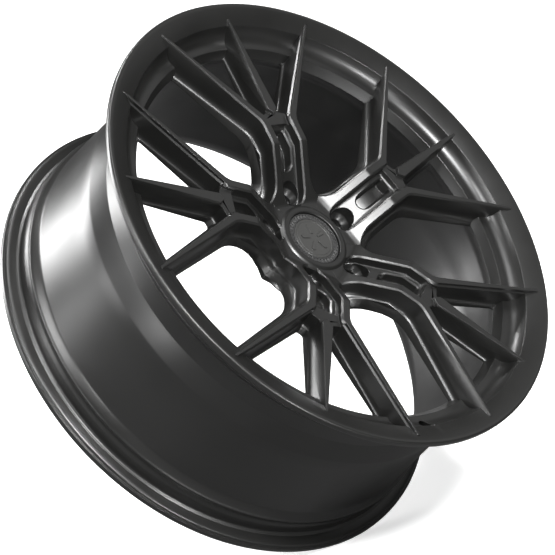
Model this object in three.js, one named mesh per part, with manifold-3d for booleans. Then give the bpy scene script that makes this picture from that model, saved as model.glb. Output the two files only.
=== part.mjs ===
// Forged one-piece racing wheel, 20 x 8.5J, five groups of three spokes, with its snap-in centre cap.
// Millimetres. The wheel turns about Y; the show face looks along -Y, +Z is up.
// The origin is on the axis, half-way between the two rim lips.
import * as THREE from 'three';
import { mergeVertices } from 'three/addons/utils/BufferGeometryUtils.js';
import Module from 'manifold-3d';

// ---- driving dimensions: rim ----
const BEAD_SEAT_DIAMETER = 508;    // nominal 20 inch seat
const RIM_WIDTH = 215.9;           // 8.5 inch between the two bead faces
const FLANGE_HEIGHT = 17.5;        // lip above the bead seat
const LIP_WIDTH = 10.55;           // lip outboard of each bead face
const LIP_CREST_SETBACK = 1.75;    // widest circle, inboard of the lip's outer plane
const FACE_WIDTH = 24.4;           // show face of the flange, measured along the radius
const FACE_DISH = 7.9;             // how far the show face falls from lip to inner edge
const LIP_ROUNDING = 5;            // show face starts this far inside the widest circle
const LIP_LAND = 2.8;              // flat of the lip's outer plane starts this far inside it
const LIP_EDGE = 1;                // rounded outer edge, along the radius
const LIP_EDGE_DEPTH = 0.6;        // and along the axis
const LIP_BAND = 6;                // straight band of the lip, outboard of the bead face
const LIP_BAND_DRAFT = 0.7;
const LIP_NECK = 2.4;
const LIP_NECK_INSET = 3.4;
const BEAD_FACE_INSET = 8;         // flat bead face starts this far inside the lip radius
const SEAT_FILLET = 3;             // between the bead seat and the bead face
const SEAT_TAPER = 1;              // fall of a bead seat over its length
const FRONT_SEAT_LENGTH = 13.5;
const FRONT_HUMP_SETBACK = 17;
const FRONT_HUMP_DROP = 0.6;       // hump's crest below the nominal seat
const REAR_SEAT_LENGTH = 19;
const REAR_HUMP_SETBACK = 24;
const REAR_HUMP_DROP = 0.4;
const WELL_DEPTH = 18.5;           // tyre-fitting well below the bead seat
const WELL_SETBACK = 36;           // front bead face to the well's floor
const WELL_LENGTH = 23;
const WELL_RAMP = 23;              // cone from the well's floor up to the long barrel wall
const HUMP_SETBACK = 37;           // rear bead face to the foot of the rear seat's ramp
const BARREL_FRONT_DROP = 11;      // long barrel wall below the bead seat, at the well
const BARREL_REAR_DROP = 5.7;      // and at the rear hump
const BARREL_WALL = 6.8;
const REAR_SEAT_WALL = 8;          // wall under the rear bead seat
const REAR_SEAT_WALL_SETBACK = 22;
const REAR_LIP_WALL = 4;
const REAR_LIP_WALL_SETBACK = 6;
const LEDGE_RADIUS_INSET = 50;     // window ledge, inboard of the lip radius
const LEDGE_DEPTH = 33.5;          // window ledge behind the front lip plane
const POCKET_RADIUS_INSET = 43.4;  // edge between the pocket wall and the ledge
const POCKET_DEPTH = 23.5;
const LEDGE_OVERRUN = 3;           // ledge ends this far behind the backs of the spokes
const LEDGE_RAMP = 14;             // well's own wall starts this far behind them
const VALVE_HOLE = 11.5;
const VALVE_INSET = 7.1;           // valve hole's axis inside the show face
const VALVE_ANGLE = 265;           // degrees, counter-clockwise from +X seen from the front

// ---- driving dimensions: hub ----
const OFFSET = 45;                 // mounting pad to the rim's middle plane (ET45)
const HUB_THICKNESS = 25.6;        // pad to the plateau round the cap
const LUG_COUNT = 5;
const LUG_CIRCLE = 112;            // 5 x 112
const LUG_HOLE = 15;
const LUG_SEAT = 26;
const LUG_SEAT_DEPTH = 7;
const LUG_FLOOR_DROP = 4.6;        // floor round the lug holes, behind the hub plateau
const CENTRE_BORE = 66.6;
const BORE_WALL = 8.9;
const PAD_MARGIN = 16;             // mounting pad outside the lug circle
const LUG_CONE = 5;                // conical part of the lug seat's depth
const CORE_CHAMFER = 1.2;
const BORE_CHAMFER = 1;
const BOSS_CHAMFER = 5;

// ---- driving dimensions: spokes ----
const GROUP_COUNT = 5;
const CREASE_RADIUS = 98.5;        // where the steep inner facet meets the flat outer one
const CREASE_DEPTH = 11.6;         // crease behind the front lip plane
const BEND_RADIUS = 127;           // where the twin arms splay
const ARM_TIP_SPREAD = 24;         // degrees between the group's axis and each arm tip
const ARM_TIP_SETBACK = 11.5;      // arm tip inside the lip radius
const ARM_TIP_DEPTH = 1.2;         // arm tip behind the front lip plane
const CENTRE_TIP_SETBACK = 18;
const CENTRE_TIP_DEPTH = 4.4;
const CHANNEL_HALF_WIDTH = 14.1;   // sunken channel between the twin arms
const ARM_WIDTH = 11.7;
const ARM_TIP_WIDTH = 3;
const ARM_SHOULDER = 8.4;          // lower, wider tier on the window side of an arm
const SHOULDER_DEPTH = 19;         // shoulder below the arm's top
const SPOKE_THICKNESS = 31;        // arm top to its back, outside the crease
const ROOT_OVERLAP = 2;            // roots reach this far into the hub core's space before they are cut
const FACET_SETBACK = 3;           // steep inner facet starts this far outside the hub core
const ARM_BEND_LEAD = 3.5;         // bend corner of an arm's edges before or after the bend's middle
const SHOULDER_BEND_INNER = 8;
const SHOULDER_BEND_OUTER = 7;
const SHOULDER_TIP_INNER = 10;
const SHOULDER_TIP_OUTER = 11;
const SHOULDER_TIP_DROP = 8;       // extra depth of the shoulder at the tip
const SHOULDER_ROOT_SETBACK = 8;   // shoulder's start outside the hub core
const SHOULDER_ROOT_DROP = 6;      // and behind the hub plateau
const BACK_SETBACK = 14;           // flat back starts this far outside the crease
const PAD_RAMP_RISE = 9;           // ramp from the flat back down to the mounting pad
const PAD_RAMP_OUT = 6;
const PAD_RAMP_IN = 2;
const CHANNEL_DEPTH = 11.5;        // channel floor below the arm tops
const SADDLE_LENGTH = 13;          // bridge between the arms at the bend
const SADDLE_DROP = 3;
const SADDLE_LEAD = 4;             // saddle starts this far inside the bend
const WEB_ROOT_RISE = 10;          // web's back at the lug boss, outboard of the pad
const CENTRE_ROOT_WIDTH = 12;
const CENTRE_TIP_WIDTH = 2.6;
const CENTRE_SHOULDER = 4.5;
const CENTRE_POINT = 5;            // length of the pointed root
const CENTRE_TIP_SHOULDER = 9;
const CENTRE_SHOULDER_LIFT = 3;
const CENTRE_TIP_SHOULDER_DROP = 6;
const POCKET_LENGTH = 27;          // weight-saving pocket in the channel floor
const POCKET_WIDTH = 15;
const POCKET_SETBACK = 2;          // its middle outside the crease
const CHANNEL_POCKET_DEPTH = 9;

// ---- driving dimensions: centre cap ----
const CAP_DIAMETER = 62;
const CAP_FLANGE = 2.4;
const CAP_RECESS = 0.6;            // cap face behind the hub plateau
const CAP_HOLE = 57;
const CAP_LAND = 6;                // ring that the cap's legs snap behind
const CAP_LEG = 13;
const CAP_LEG_WALL = 3;
const CAP_LEG_COUNT = 6;
const CAP_SLOT = 7;
const FACE_DISC_DIAMETER = 48;
const FACE_DISC_THICKNESS = 1.2;
const SPRING_WIRE = 1.6;
const SPRING_OPENING = 14;         // degrees missing from the spring ring
const SPRING_LAND_CLEARANCE = 0.8;
const CAP_CLEARANCE = 0.5;
const CAP_EDGE = 0.6;
const FACE_EDGE = 0.4;
const LEG_HOOK_CHAMFER = 1.5;
const LEG_GROOVE_DEPTH = 1;
const SLOT_SETBACK = 2.5;          // slots between the legs start this far behind the cap's flange

const GAP = 0.3;                   // between neighbouring solids
const OVERRUN = 20;                // cutting solids reach this far past what they cut
const MERGE = 0.01;                // joined cutting solids overlap by this much
const RIM_SEGMENTS = 60;            // multiples of 20, so that facets line up in every spoke group
const HUB_SEGMENTS = 40;
const HOLE_SEGMENTS = 20;

// ---- levels and radii that follow from them ----
const seatRadius = BEAD_SEAT_DIAMETER / 2;
const lipRadius = seatRadius + FLANGE_HEIGHT;
const beadFace = RIM_WIDTH / 2;
const lipPlane = beadFace + LIP_WIDTH;
const lipCrest = lipPlane - LIP_CREST_SETBACK;
const frontPlane = -lipPlane;
const padPlane = -OFFSET;
const plateau = padPlane - HUB_THICKNESS;
const lugFloor = plateau + LUG_FLOOR_DROP;
const lugRadius = LUG_CIRCLE / 2;
const boreRadius = CENTRE_BORE / 2;
const coreRadius = boreRadius + BORE_WALL;
const padRadius = lugRadius + PAD_MARGIN;
const armCentre = CHANNEL_HALF_WIDTH + ARM_WIDTH / 2;
const creaseLevel = frontPlane + CREASE_DEPTH;
const faceInnerRadius = lipRadius - FACE_WIDTH;
const faceOuterRadius = lipRadius - LIP_ROUNDING;
const ledgeRadius = lipRadius - LEDGE_RADIUS_INSET;
const ledgeLevel = frontPlane + LEDGE_DEPTH;
const spokeBack = creaseLevel + SPOKE_THICKNESS;
const saddleStart = BEND_RADIUS - SADDLE_LEAD;
const saddleEnd = saddleStart + SADDLE_LENGTH;

const wasm = await Module();
wasm.setup();

const forged = { color: 0x2a2a2b, roughness: 0.42, metalness: 0.6 };
const capPlastic = { color: 0x1d1d1e, roughness: 0.5, metalness: 0.0 };
const capPlate = { color: 0x252526, roughness: 0.38, metalness: 0.5 };
const springSteel = { color: 0x9a9c9e, roughness: 0.3, metalness: 1.0 };

const wheel = new THREE.Group();

// ---- helpers: solids, lathes, prisms ----

// A closed geometry as a solid, turned the right way out first.
function solid(geometry) {
  const bare = geometry.clone();
  bare.deleteAttribute('normal');
  bare.deleteAttribute('uv');
  const merged = mergeVertices(bare, 1e-4);
  const vertices = merged.attributes.position.array;
  const triangles = Uint32Array.from(merged.index.array);
  if (signedVolume(vertices, triangles) < 0) triangles.reverse();
  return new wasm.Manifold(new wasm.Mesh({
    numProp: 3, vertProperties: Float32Array.from(vertices), triVerts: triangles,
  }));
}

function signedVolume(vertices, triangles) {
  const corner = [new THREE.Vector3(), new THREE.Vector3(), new THREE.Vector3()];
  let total = 0;
  for (let i = 0; i < triangles.length; i += 3) {
    corner.forEach((point, k) => point.fromArray(vertices, triangles[i + k] * 3));
    total += corner[0].dot(corner[1].clone().cross(corner[2]));
  }
  return total / 6;
}

function geometryOf(body) {
  const result = body.getMesh();
  const geometry = new THREE.BufferGeometry();
  geometry.setAttribute('position', new THREE.BufferAttribute(result.vertProperties, 3));
  geometry.setIndex(new THREE.BufferAttribute(result.triVerts, 1));
  geometry.computeVertexNormals();
  return geometry;
}

// Closed profile of [radius, y] points turned about Y.
function lathe(points, segments) {
  const closed = [...points, points[0]].map(([r, y]) => new THREE.Vector2(r, y));
  return solid(new THREE.LatheGeometry(closed, segments));
}

function shapeOf(points) {
  return new THREE.Shape(points.map(([a, b]) => new THREE.Vector2(a, b)));
}

// Plan outline of [x, z] points, standing from level `front` back to level `back`.
function planPrism(outline, front, back) {
  const shape = outline instanceof THREE.Shape ? outline : shapeOf(outline);
  const geometry = new THREE.ExtrudeGeometry(shape, {
    depth: back - front, bevelEnabled: false, curveSegments: 6,
  });
  geometry.rotateX(Math.PI / 2);
  geometry.translate(0, back, 0);
  return solid(geometry);
}

// Side outline of [x, y] points, `halfWidth` to each side of the plane z = 0.
function sidePrism(points, halfWidth) {
  const geometry = new THREE.ExtrudeGeometry(shapeOf(points), { depth: 2 * halfWidth, bevelEnabled: false });
  geometry.translate(0, 0, -halfWidth);
  return solid(geometry);
}

// Round bar or cone along Y at (x, z).
function bar(radiusFront, radiusBack, front, back, x = 0, z = 0, segments = HOLE_SEGMENTS) {
  const geometry = new THREE.CylinderGeometry(radiusBack, radiusFront, back - front, segments);
  geometry.translate(x, (front + back) / 2, z);
  return solid(geometry);
}

function addMesh(name, body, look, angle = 0) {
  const mesh = new THREE.Mesh(geometryOf(body), new THREE.MeshStandardMaterial(look));
  mesh.name = name;
  mesh.rotation.y = -angle;
  wheel.add(mesh);
}

const radians = (degrees) => degrees * Math.PI / 180;

// ---- rim: flanges, bead seats, well, barrel ----

const pocketEdge = [lipRadius - POCKET_RADIUS_INSET, frontPlane + POCKET_DEPTH];
const faceEdge = [faceInnerRadius, frontPlane + FACE_DISH];
const faceTop = [faceOuterRadius, frontPlane];
const wellRadius = seatRadius - WELL_DEPTH;
const barrelFrontRadius = seatRadius - BARREL_FRONT_DROP;
const barrelRearRadius = seatRadius - BARREL_REAR_DROP;
const wellFront = -beadFace + WELL_SETBACK;
const wellRear = wellFront + WELL_LENGTH;
const barrelFront = wellRear + WELL_RAMP;
const barrelRear = beadFace - HUMP_SETBACK;

// Tyre side of a lip, from its widest circle down to the bead seat; `side` is -1 front, +1 rear.
function lipOutside(side) {
  return [
    [lipRadius - LIP_EDGE, side * (lipPlane - LIP_EDGE_DEPTH)],
    [lipRadius, side * lipCrest],
    [lipRadius - LIP_BAND_DRAFT, side * (beadFace + LIP_BAND)],
    [lipRadius - LIP_NECK_INSET, side * (beadFace + LIP_NECK)],
    [lipRadius - BEAD_FACE_INSET, side * beadFace],
    [seatRadius + SEAT_FILLET, side * beadFace],
    [seatRadius, side * (beadFace - SEAT_FILLET)],
  ];
}

const rimOutside = [
  faceTop,
  [lipRadius - LIP_LAND, frontPlane],
  ...lipOutside(-1),
  [seatRadius - SEAT_TAPER, -beadFace + FRONT_SEAT_LENGTH],
  [seatRadius - FRONT_HUMP_DROP, -beadFace + FRONT_HUMP_SETBACK],
  [wellRadius, wellFront],
  [wellRadius, wellRear],
  [barrelFrontRadius, barrelFront],
  [barrelRearRadius, barrelRear],
  [seatRadius - REAR_HUMP_DROP, beadFace - REAR_HUMP_SETBACK],
  [seatRadius - SEAT_TAPER, beadFace - REAR_SEAT_LENGTH],
  ...lipOutside(1).reverse(),
  [lipRadius - LIP_LAND, lipPlane],
  [faceOuterRadius, lipPlane],
];
const rimInside = [
  [seatRadius - REAR_LIP_WALL, beadFace - REAR_LIP_WALL_SETBACK],
  [seatRadius - REAR_SEAT_WALL, beadFace - REAR_SEAT_WALL_SETBACK],
  [barrelRearRadius - BARREL_WALL, barrelRear],
  [barrelFrontRadius - BARREL_WALL, barrelFront],
  [wellRadius - BARREL_WALL, wellRear],
  [wellRadius - BARREL_WALL, spokeBack + LEDGE_RAMP],
  [ledgeRadius, spokeBack + LEDGE_OVERRUN],
  [ledgeRadius, ledgeLevel],
  pocketEdge,
  faceEdge,
];

// Everything that the rim occupies, a gap larger, so that the spokes stop short of it.
const rimCutter = lathe([
  [ledgeRadius - GAP, padPlane + OVERRUN],
  [ledgeRadius - GAP, ledgeLevel - GAP],
  [pocketEdge[0] - GAP, pocketEdge[1] - GAP],
  [faceEdge[0] - GAP, faceEdge[1] - GAP],
  [faceTop[0] - GAP, faceTop[1] - GAP],
  [lipRadius + OVERRUN, faceTop[1] - GAP],
  [lipRadius + OVERRUN, padPlane + OVERRUN],
], RIM_SEGMENTS);

// Plain hole along Y, from the pocket wall through to the front wall of the well.
function valveHole() {
  const radius = faceInnerRadius - VALVE_INSET;
  const x = radius * Math.cos(radians(VALVE_ANGLE));
  const z = radius * Math.sin(radians(VALVE_ANGLE));
  return bar(VALVE_HOLE / 2, VALVE_HOLE / 2, frontPlane, wellFront + GAP, x, z);
}

// The rim in four rings, cut beside the bead faces and behind the well, so that the tyre channel stays open.
function makeRim() {
  const rim = lathe([...rimOutside, ...rimInside], RIM_SEGMENTS).subtract(valveHole());
  const ring = (name, front, back) => {
    const disc = bar(lipRadius + GAP, lipRadius + GAP, front, back, 0, 0, 3 * RIM_SEGMENTS);
    addMesh(name, rim.intersect(disc), forged);
  };
  const seatEnd = beadFace - SEAT_FILLET;
  ring('rim_front_flange', frontPlane - GAP, -seatEnd);
  ring('rim_drop_centre', -seatEnd + GAP, wellRear);
  ring('rim_rear_barrel', wellRear + GAP, seatEnd - GAP);
  ring('rim_rear_flange', seatEnd, lipPlane + GAP);
}

// ---- hub core: bore, cap seat and the ring round the cap ----

const capPocketRadius = CAP_DIAMETER / 2 + CAP_CLEARANCE;
const capSeat = plateau + CAP_RECESS + CAP_FLANGE + GAP;
const capHoleRadius = CAP_HOLE / 2;

function lugDrills(angleOf) {
  let drills = null;
  for (let i = 0; i < LUG_COUNT; i += 1) {
    const x = lugRadius * Math.cos(angleOf(i));
    const z = lugRadius * Math.sin(angleOf(i));
    const hole = bar(LUG_HOLE / 2, LUG_HOLE / 2, plateau - OVERRUN, padPlane + OVERRUN, x, z);
    const seatBottom = lugFloor + LUG_SEAT_DEPTH;
    const seat = bar(LUG_SEAT / 2, LUG_HOLE / 2, seatBottom - LUG_CONE, seatBottom, x, z);
    const well = bar(LUG_SEAT / 2, LUG_SEAT / 2, plateau - OVERRUN, seatBottom - LUG_CONE + MERGE, x, z);
    const drill = hole.add(seat).add(well);
    drills = drills ? drills.add(drill) : drill;
  }
  return drills;
}

const groupAngle = (index) => radians(90 - index * 360 / GROUP_COUNT);
const allLugDrills = lugDrills(groupAngle);
const oneLugDrill = lugDrills((index) => index * 2 * Math.PI / LUG_COUNT);

function makeHubCore() {
  const core = lathe([
    [boreRadius + BORE_CHAMFER, padPlane],
    [coreRadius, padPlane],
    [coreRadius, plateau + CORE_CHAMFER],
    [coreRadius - CORE_CHAMFER, plateau],
    [capPocketRadius + BORE_CHAMFER, plateau],
    [capPocketRadius, plateau + BORE_CHAMFER],
    [capPocketRadius, capSeat],
    [capHoleRadius, capSeat],
    [capHoleRadius, capSeat + CAP_LAND],
    [boreRadius, capSeat + CAP_LAND],
    [boreRadius, padPlane - BORE_CHAMFER],
  ], HUB_SEGMENTS);
  addMesh('hub_core', core.subtract(allLugDrills), forged);
}

// ---- one spoke group, drawn with its axis along +X ----

const armTipRadius = lipRadius - ARM_TIP_SETBACK;
const armTip = new THREE.Vector2(
  armTipRadius * Math.cos(radians(ARM_TIP_SPREAD)),
  armTipRadius * Math.sin(radians(ARM_TIP_SPREAD)),
);
const armBend = new THREE.Vector2(BEND_RADIUS, armCentre);
const armRun = armTip.clone().sub(armBend).normalize();
const armSide = new THREE.Vector2(-armRun.y, armRun.x);
const rootStart = coreRadius * Math.cos(Math.PI / GROUP_COUNT) - ROOT_OVERLAP;
const facetStart = coreRadius + FACET_SETBACK;
const wedge = Math.tan(Math.PI / GROUP_COUNT);
const wedgeGap = GAP / Math.cos(Math.PI / GROUP_COUNT);

function beside(point, distance) {
  return [point.x + armSide.x * distance, point.y + armSide.y * distance];
}

// Side view shared by the twin arms: top facets, then the back from the rim to the pad.
const armSideView = [
  [rootStart, plateau],
  [facetStart, plateau],
  [CREASE_RADIUS, creaseLevel],
  [armTip.x + ROOT_OVERLAP, frontPlane + ARM_TIP_DEPTH],
  [armTip.x + ROOT_OVERLAP, spokeBack],
  [CREASE_RADIUS + BACK_SETBACK, spokeBack],
  [padRadius + PAD_RAMP_OUT, padPlane - PAD_RAMP_RISE],
  [padRadius - PAD_RAMP_IN, padPlane],
  [rootStart, padPlane],
];

// The same side view, lowered to the shoulder tier.
const shoulderSideView = [
  [rootStart, plateau + SHOULDER_ROOT_DROP],
  [coreRadius + SHOULDER_ROOT_SETBACK, plateau + SHOULDER_ROOT_DROP],
  [CREASE_RADIUS, creaseLevel + SHOULDER_DEPTH],
  [armTip.x + ROOT_OVERLAP, frontPlane + ARM_TIP_DEPTH + SHOULDER_DEPTH + SHOULDER_TIP_DROP],
  ...armSideView.slice(4),
];

function mirrored(outline, side) {
  return outline.map(([x, z]) => [x, side * z]);
}

// The group's share of the wheel, and the space of the hub core with its clearance.
const groupWedge = planPrism([
  [wedgeGap / wedge, 0],
  [lipRadius, -lipRadius * wedge + wedgeGap],
  [lipRadius, lipRadius * wedge - wedgeGap],
], frontPlane - OVERRUN, padPlane + OVERRUN);
const coreCutter = bar(coreRadius + GAP, coreRadius + GAP, plateau - OVERRUN, padPlane + OVERRUN, 0, 0, HUB_SEGMENTS);

function makeArm(side) {
  const outer = CHANNEL_HALF_WIDTH + ARM_WIDTH;
  const top = [
    [rootStart, CHANNEL_HALF_WIDTH],
    [BEND_RADIUS + ARM_BEND_LEAD, CHANNEL_HALF_WIDTH],
    beside(armTip, -ARM_TIP_WIDTH / 2),
    beside(armTip, ARM_TIP_WIDTH / 2),
    [BEND_RADIUS - ARM_BEND_LEAD, outer],
    [rootStart, outer],
  ];
  const low = outer + ARM_SHOULDER;
  const shoulder = [
    [rootStart, CHANNEL_HALF_WIDTH],
    [BEND_RADIUS + SHOULDER_BEND_INNER, CHANNEL_HALF_WIDTH],
    beside(armTip, -ARM_TIP_WIDTH / 2 - SHOULDER_TIP_INNER),
    beside(armTip, ARM_TIP_WIDTH / 2 + SHOULDER_TIP_OUTER),
    [BEND_RADIUS - SHOULDER_BEND_OUTER, low],
    [rootStart, low],
  ];
  const blade = planPrism(mirrored(top, side), frontPlane, padPlane + ROOT_OVERLAP)
    .intersect(sidePrism(armSideView, lipRadius));
  const base = planPrism(mirrored(shoulder, side), frontPlane, padPlane + ROOT_OVERLAP)
    .intersect(sidePrism(shoulderSideView, lipRadius));
  return blade.add(base).intersect(groupWedge).subtract(coreCutter).subtract(rimCutter).subtract(oneLugDrill);
}

// Block with the lug hole, between the roots of the twin arms.
function makeLugBoss() {
  const half = CHANNEL_HALF_WIDTH - GAP;
  const outline = [
    [rootStart, -half],
    [padRadius - BOSS_CHAMFER, -half],
    [padRadius, -half + BOSS_CHAMFER],
    [padRadius, half - BOSS_CHAMFER],
    [padRadius - BOSS_CHAMFER, half],
    [rootStart, half],
  ];
  return planPrism(outline, lugFloor, padPlane).subtract(coreCutter).subtract(oneLugDrill);
}

// Sunken floor and saddle that tie the twin arms together.
function makeChannelWeb() {
  const half = CHANNEL_HALF_WIDTH - GAP;
  const start = padRadius + GAP;
  const slope = (creaseLevel - plateau) / (CREASE_RADIUS - facetStart);
  const floorAt = (x) => plateau + slope * (x - facetStart) + CHANNEL_DEPTH;
  const creaseFloor = creaseLevel + CHANNEL_DEPTH;
  const web = sidePrism([
    [start, floorAt(start)],
    [CREASE_RADIUS, creaseFloor],
    [saddleStart, creaseFloor],
    [saddleStart, creaseLevel + SADDLE_DROP],
    [saddleEnd, creaseLevel + SADDLE_DROP],
    [saddleEnd, spokeBack],
    [CREASE_RADIUS + BACK_SETBACK, spokeBack],
    [start, padPlane - WEB_ROOT_RISE],
  ], half);
  const middle = CREASE_RADIUS + POCKET_SETBACK;
  const round = POCKET_WIDTH / 2;
  const straight = POCKET_LENGTH / 2 - round;
  const pocket = new THREE.Shape();
  pocket.absarc(middle + straight, 0, round, -Math.PI / 2, Math.PI / 2);
  pocket.absarc(middle - straight, 0, round, Math.PI / 2, 3 * Math.PI / 2);
  return web.subtract(planPrism(pocket, frontPlane, creaseFloor + CHANNEL_POCKET_DEPTH));
}

function makeCentreSpoke() {
  const start = saddleEnd + GAP;
  const tip = lipRadius - CENTRE_TIP_SETBACK;
  const root = CENTRE_ROOT_WIDTH / 2;
  const end = CENTRE_TIP_WIDTH / 2;
  const top = [[start, 0], [start + CENTRE_POINT, root], [tip, end], [tip, -end], [start + CENTRE_POINT, -root]];
  const low = root + CENTRE_SHOULDER;
  const wide = end + CENTRE_TIP_SHOULDER;
  const shoulder = [[start, low], [tip, wide], [tip, -wide], [start, -low]];
  const topLevel = frontPlane + CENTRE_TIP_DEPTH;
  const blade = planPrism(top, frontPlane, padPlane).intersect(sidePrism([
    [start, creaseLevel], [tip, topLevel], [tip, spokeBack], [start, spokeBack],
  ], lipRadius));
  const base = planPrism(shoulder, frontPlane, padPlane).intersect(sidePrism([
    [start, creaseLevel + SHOULDER_DEPTH - CENTRE_SHOULDER_LIFT],
    [tip, topLevel + SHOULDER_DEPTH + CENTRE_TIP_SHOULDER_DROP],
    [tip, spokeBack],
    [start, spokeBack],
  ], lipRadius));
  return blade.add(base).subtract(rimCutter);
}

function makeSpokeGroups() {
  const leftArm = makeArm(1);
  const rightArm = makeArm(-1);
  const boss = makeLugBoss();
  const web = makeChannelWeb();
  const centre = makeCentreSpoke();
  for (let i = 0; i < GROUP_COUNT; i += 1) {
    const angle = groupAngle(i);
    addMesh(`arm_left_${i + 1}`, leftArm, forged, angle);
    addMesh(`arm_right_${i + 1}`, rightArm, forged, angle);
    addMesh(`centre_spoke_${i + 1}`, centre, forged, angle);
    addMesh(`channel_web_${i + 1}`, web, forged, angle);
    addMesh(`lug_boss_${i + 1}`, boss, forged, angle);
  }
}

// ---- centre cap: snap-in body, face disc and the wire ring that spreads its legs ----

const capFront = plateau + CAP_RECESS;
const capBack = capFront + CAP_FLANGE;
const legOuter = capHoleRadius - GAP;
const legInner = legOuter - CAP_LEG_WALL;
const legEnd = capBack + CAP_LEG;
const discRadius = FACE_DISC_DIAMETER / 2;
const ringLevel = capSeat + CAP_LAND + SPRING_WIRE / 2 + SPRING_LAND_CLEARANCE;
const grooveRadius = legInner + LEG_GROOVE_DEPTH;

function makeCap() {
  const grooveHalf = SPRING_WIRE / 2 + GAP;
  const body = lathe([
    [0, capFront + FACE_DISC_THICKNESS + GAP],
    [discRadius + GAP, capFront + FACE_DISC_THICKNESS + GAP],
    [discRadius + GAP, capFront],
    [CAP_DIAMETER / 2 - CAP_EDGE, capFront],
    [CAP_DIAMETER / 2, capFront + CAP_EDGE],
    [CAP_DIAMETER / 2, capBack],
    [legOuter, capBack],
    [legOuter, legEnd - LEG_HOOK_CHAMFER],
    [legOuter - LEG_HOOK_CHAMFER, legEnd],
    [legInner, legEnd],
    [legInner, ringLevel + grooveHalf],
    [grooveRadius, ringLevel + grooveHalf],
    [grooveRadius, ringLevel - grooveHalf],
    [legInner, ringLevel - grooveHalf],
    [legInner, capBack],
    [0, capBack],
  ], HUB_SEGMENTS);
  const slotBar = new THREE.BoxGeometry(CAP_DIAMETER + OVERRUN, CAP_LEG, CAP_SLOT);
  slotBar.translate(0, capBack + CAP_LEG / 2 + SLOT_SETBACK, 0);
  let slots = null;
  for (let i = 0; i < CAP_LEG_COUNT / 2; i += 1) {
    const turned = solid(slotBar.clone().rotateY(i * 2 * Math.PI / CAP_LEG_COUNT));
    slots = slots ? slots.add(turned) : turned;
  }
  addMesh('centre_cap_body', body.subtract(slots), capPlastic);

  const disc = lathe([
    [0, capFront],
    [discRadius - FACE_EDGE, capFront],
    [discRadius, capFront + FACE_EDGE],
    [discRadius, capFront + FACE_DISC_THICKNESS],
    [0, capFront + FACE_DISC_THICKNESS],
  ], HUB_SEGMENTS);
  addMesh('centre_cap_face', disc, capPlate);

  const wireRadius = SPRING_WIRE / 2;
  const bendRadius = grooveRadius - GAP - wireRadius;
  const half = radians(SPRING_OPENING / 2);
  const route = new THREE.CatmullRomCurve3(Array.from({ length: 33 }, (_, i) => {
    const angle = half + (2 * Math.PI - 2 * half) * i / 32;
    return new THREE.Vector3(bendRadius * Math.cos(angle), ringLevel, bendRadius * Math.sin(angle));
  }));
  const section = new THREE.Shape();
  section.absarc(0, 0, wireRadius, 0, 2 * Math.PI);
  const wire = new THREE.ExtrudeGeometry(section, {
    steps: 48, extrudePath: route, curveSegments: 4, bevelEnabled: false,
  });
  addMesh('cap_spring_ring', solid(wire), springSteel);
}

makeRim();
makeHubCore();
makeSpokeGroups();
makeCap();

export default wheel;
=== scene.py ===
"""Looks of the forged racing wheel: rim, spokes, hub ring and centre cap, with floor, light and camera."""

import math

import bmesh
import bpy
from mathutils import Matrix, Vector


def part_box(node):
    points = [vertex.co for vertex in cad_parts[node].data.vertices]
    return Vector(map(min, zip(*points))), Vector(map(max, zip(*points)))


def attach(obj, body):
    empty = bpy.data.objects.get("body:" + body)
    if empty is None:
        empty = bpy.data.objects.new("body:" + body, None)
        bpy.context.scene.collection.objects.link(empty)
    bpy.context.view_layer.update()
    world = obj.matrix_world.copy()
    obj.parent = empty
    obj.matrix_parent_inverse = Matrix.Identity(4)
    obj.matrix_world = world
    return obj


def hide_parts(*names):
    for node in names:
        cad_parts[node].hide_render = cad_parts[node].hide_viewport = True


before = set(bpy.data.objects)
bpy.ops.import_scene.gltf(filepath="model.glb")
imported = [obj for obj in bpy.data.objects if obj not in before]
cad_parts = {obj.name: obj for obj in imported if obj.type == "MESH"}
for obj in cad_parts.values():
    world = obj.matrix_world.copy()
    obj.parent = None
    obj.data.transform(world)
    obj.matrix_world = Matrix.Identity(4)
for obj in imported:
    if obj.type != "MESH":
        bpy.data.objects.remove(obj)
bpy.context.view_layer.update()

# ---- frame measures, metres ----
front_low, front_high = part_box("rim_front_flange")
cap_low, cap_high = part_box("centre_cap_body")
ring_low, ring_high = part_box("cap_spring_ring")
core_low, core_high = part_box("hub_core")
R = front_high.x                      # lip radius; lengths below are shares of it
CREST_SETBACK = 0.00645               # from the lip's outer plane to its widest circle
CREST = -front_low.y / R - CREST_SETBACK
PAD_D = -CREST - core_high.y / R      # d of the hub mounting pad
CAP_D = -CREST - cap_low.y / R        # d of the cap's front
CAP_R = cap_high.x / R
GROUPS = 5
PITCH = 2 * math.pi / GROUPS
HALF = PITCH / 2


def group_angle(index):
    return math.pi / 2 - index * PITCH


def at(x, z, d):
    """Point of a group frame: x along the group, z to its left, d outboard of the front lip's widest circle."""
    return Vector((x, -CREST - d, z)) * R


# ---- levels of the spokes, as depths d over x ----
PLATEAU = -0.170                      # round the cap
CREASE_X = 0.363                      # where the steep inner facet meets the flat outer one
ARM_TOP = [(0.16, PLATEAU), (CREASE_X, -0.036), (0.876, -0.002)]
CENTRE_TOP = [(0.45, -0.0390), (0.50, -0.0375), (0.934, -0.013)]
TOP = 0.12                            # cutting tools start here, outboard of everything
BELOW = -0.36                         # and end here, behind the spokes
FAR = 1.16                            # open outlines end here, outside the rim


def line_through(points, x):
    """Value at x of the line through the points, straight on beyond the last and level before the first."""
    if x <= points[0][0]:
        return points[0][1]
    for (x0, d0), (x1, d1) in zip(points, points[1:]):
        if x <= x1:
            return d0 + (d1 - d0) * (x - x0) / (x1 - x0)
    (x0, d0), (x1, d1) = points[-2:]
    return d1 + (d1 - d0) * (x - x1) / (x1 - x0)


def arm_top(x):
    return line_through(ARM_TOP, x)


def centre_top(x):
    return line_through(CENTRE_TOP, x)


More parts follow.
